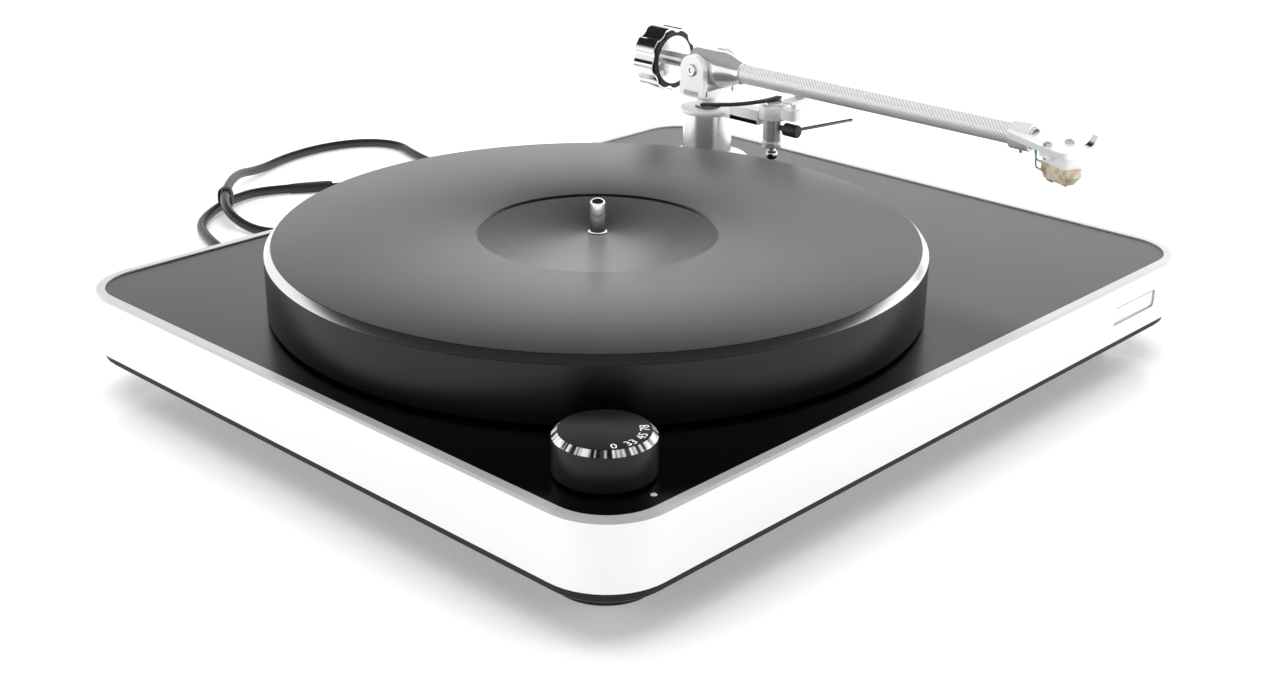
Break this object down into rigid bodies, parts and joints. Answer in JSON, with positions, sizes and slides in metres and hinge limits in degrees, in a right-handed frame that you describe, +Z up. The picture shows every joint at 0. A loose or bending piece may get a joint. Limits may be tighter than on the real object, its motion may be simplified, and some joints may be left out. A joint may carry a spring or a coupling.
{
  "type": "turntable record player",
  "caption": "Belt-drive turntable: low metal-edged plinth on round feet, heavy platter with record spindle, straight pivoting tonearm with lift and counterweight, speed knob and phono lead.",
  "frame": {"origin": "centre of the plinth's footprint on the standing surface", "axes": "+X to the right along the front, +Y to the rear, +Z up"},
  "size_m": [0.42, 0.5948, 0.1254],
  "materials": {
    "foot_black": "satin black turned plastic",
    "pad_rubber": "matt black rubber",
    "base_black": "satin black powder coat",
    "screw_black": "black oxide steel",
    "band_aluminium": "finely brushed, clear anodised aluminium",
    "badge_aluminium": "plain brushed aluminium, with no mark",
    "core_mdf": "raw wood fibre board",
    "deck_black": "satin black deck",
    "bearing_brass": "turned brass",
    "thrust_ptfe": "white low-friction plastic",
    "ball_steel": "polished bearing steel",
    "bush_bronze": "sintered bronze",
    "spindle_steel": "polished steel",
    "sub_platter_black": "black moulded plastic",
    "platter_black": "satin black coated aluminium",
    "motor_steel": "drawn steel can",
    "motor_plate_steel": "zinc-plated steel",
    "isolator_rubber": "soft black rubber",
    "motor_shaft_steel": "ground steel",
    "pulley_aluminium": "turned aluminium",
    "belt_rubber": "flat black rubber belt",
    "board_green": "green circuit board",
    "standoff_brass": "turned brass",
    "switch_plastic": "black moulded switch body",
    "nut_steel": "plated steel",
    "switch_shaft_steel": "ground steel",
    "knob_black": "black anodised aluminium with a bright cut chamfer",
    "lens_clear": "clear light pipe",
    "panel_black": "satin black panel",
    "socket_black": "black moulded socket",
    "relief_black": "black flexible sleeve",
    "lead_black": "black cable jacket",
    "collar_silver": "turned aluminium",
    "pillar_silver": "turned, bright aluminium",
    "arm_bearing_steel": "bearing steel",
    "bracket_silver": "bead-blasted aluminium",
    "lift_silver": "turned aluminium",
    "adjuster_steel": "polished steel",
    "lift_bar_black": "black soft-coated strip",
    "lever_steel": "steel rod in a black hub",
    "rest_silver": "bent aluminium with a soft lining",
    "axle_steel": "ground steel",
    "yoke_silver": "bead-blasted aluminium",
    "pin_steel": "ground steel with black caps",
    "block_silver": "turned, polished aluminium",
    "tube_carbon": "silver woven carbon tube under clear lacquer",
    "weight_steel": "polished fluted steel",
    "shell_silver": "bright aluminium",
    "shell_screw_steel": "plated steel",
    "finger_steel": "thin bent strip",
    "cartridge_white": "white moulded mount",
    "cartridge_amber": "amber moulded body",
    "stylus_metal": "thin alloy cantilever",
    "lead_colours": "four fine insulated wires, one colour each",
    "splitter_black": "black moulded splitter",
    "leg_black": "black cable jacket",
    "plug_metal": "metal shell plug"
  },
  "bodies": {
    "plinth": {"feet": "foot_black", "foot_pads": "pad_rubber", "base_plate": "base_black", "plinth_screws": "screw_black", "side_band": "band_aluminium", "front_badge": "badge_aluminium", "core_board": "core_mdf", "deck_plate": "deck_black", "bearing_housing": "bearing_brass", "thrust_pad": "thrust_ptfe", "bearing_bushes": "bush_bronze", "motor": "motor_steel", "motor_plate": "motor_plate_steel", "motor_isolators": "isolator_rubber", "drive_belt": "belt_rubber", "circuit_board": "board_green", "board_standoffs": "standoff_brass", "speed_switch": "switch_plastic", "switch_nut": "nut_steel", "indicator_lens": "lens_clear", "rear_panel": "panel_black", "power_socket": "socket_black", "lead_relief": "relief_black", "inner_lead": "lead_black", "arm_collar": "collar_silver", "phono_lead": "lead_black", "lead_splitter": "splitter_black", "left_leg": "leg_black", "right_leg": "leg_black", "phono_plugs": "plug_metal"},
    "platter_rotor": {"platter": "platter_black", "sub_platter": "sub_platter_black", "spindle_shaft": "spindle_steel", "thrust_ball": "ball_steel"},
    "motor_rotor": {"motor_shaft": "motor_shaft_steel", "motor_pulley": "pulley_aluminium"},
    "knob": {"speed_knob": "knob_black", "switch_shaft": "switch_shaft_steel"},
    "arm_pillar": {"arm_pillar": "pillar_silver", "arm_bearings": "arm_bearing_steel", "lift_bracket": "bracket_silver", "lift_cylinder": "lift_silver", "lift_adjuster": "adjuster_steel", "arm_rest": "rest_silver"},
    "lift_platform": {"lift_bar": "lift_bar_black"},
    "cue_lever": {"cue_lever": "lever_steel"},
    "arm_yoke": {"arm_axle": "axle_steel", "yoke": "yoke_silver", "pivot_pins": "pin_steel"},
    "tonearm": {"bearing_block": "block_silver", "arm_tube": "tube_carbon", "headshell": "shell_silver", "headshell_screws": "shell_screw_steel", "finger_lift": "finger_steel", "cartridge_mount": "cartridge_white", "cartridge_body": "cartridge_amber", "stylus": "stylus_metal", "cartridge_leads": "lead_colours"},
    "counterweight": {"counterweight": "weight_steel"}
  },
  "joints": [
    {"name": "platter_spin", "type": "hinge", "parent": "plinth", "child": "platter_rotor", "pos_m": [-0.044, -0.006, 0.06], "axis": [0, 0, -1], "continuous": true},
    {"name": "motor_spin", "type": "hinge", "parent": "plinth", "child": "motor_rotor", "pos_m": [-0.149, -0.006, 0.06], "axis": [0, 0, -1], "continuous": true},
    {"name": "speed_selector", "type": "hinge", "parent": "plinth", "child": "knob", "pos_m": [-0.1742, -0.1384, 0.06], "axis": [0, 0, 1], "range_deg": [-54, 27]},
    {"name": "arm_height", "type": "slide", "parent": "plinth", "child": "arm_pillar", "axis": [0, 0, 1], "range_m": [-0.001, 0.004]},
    {"name": "arm_swing", "type": "hinge", "parent": "arm_pillar", "child": "arm_yoke", "pos_m": [0.15156, 0.09908, 0.09], "axis": [0, 0, -1], "range_deg": [0, 48]},
    {"name": "arm_tilt", "type": "hinge", "parent": "arm_yoke", "child": "tonearm", "pos_m": [0.15156, 0.09908, 0.1077], "axis": [-1, 0, 0], "range_deg": [-1.9, 8]},
    {"name": "counterweight_slide", "type": "slide", "parent": "tonearm", "child": "counterweight", "axis": [0, 1, 0], "range_m": [-0.006, 0.01]},
    {"name": "cue_lever_turn", "type": "hinge", "parent": "arm_pillar", "child": "cue_lever", "pos_m": [0.15156, 0.03708, 0.0822], "axis": [0, -1, 0], "range_deg": [0, 45]},
    {"name": "lift_rise", "type": "slide", "parent": "arm_pillar", "child": "lift_platform", "axis": [0, 0, 1], "range_m": [0, 0.002]}
  ],
  "couplings": [
    {"joint": "motor_spin", "follows": "platter_spin", "ratio": 10.629},
    {"joint": "cue_lever_turn", "follows": "lift_rise", "rad_per_m": 392.69}
  ]
}
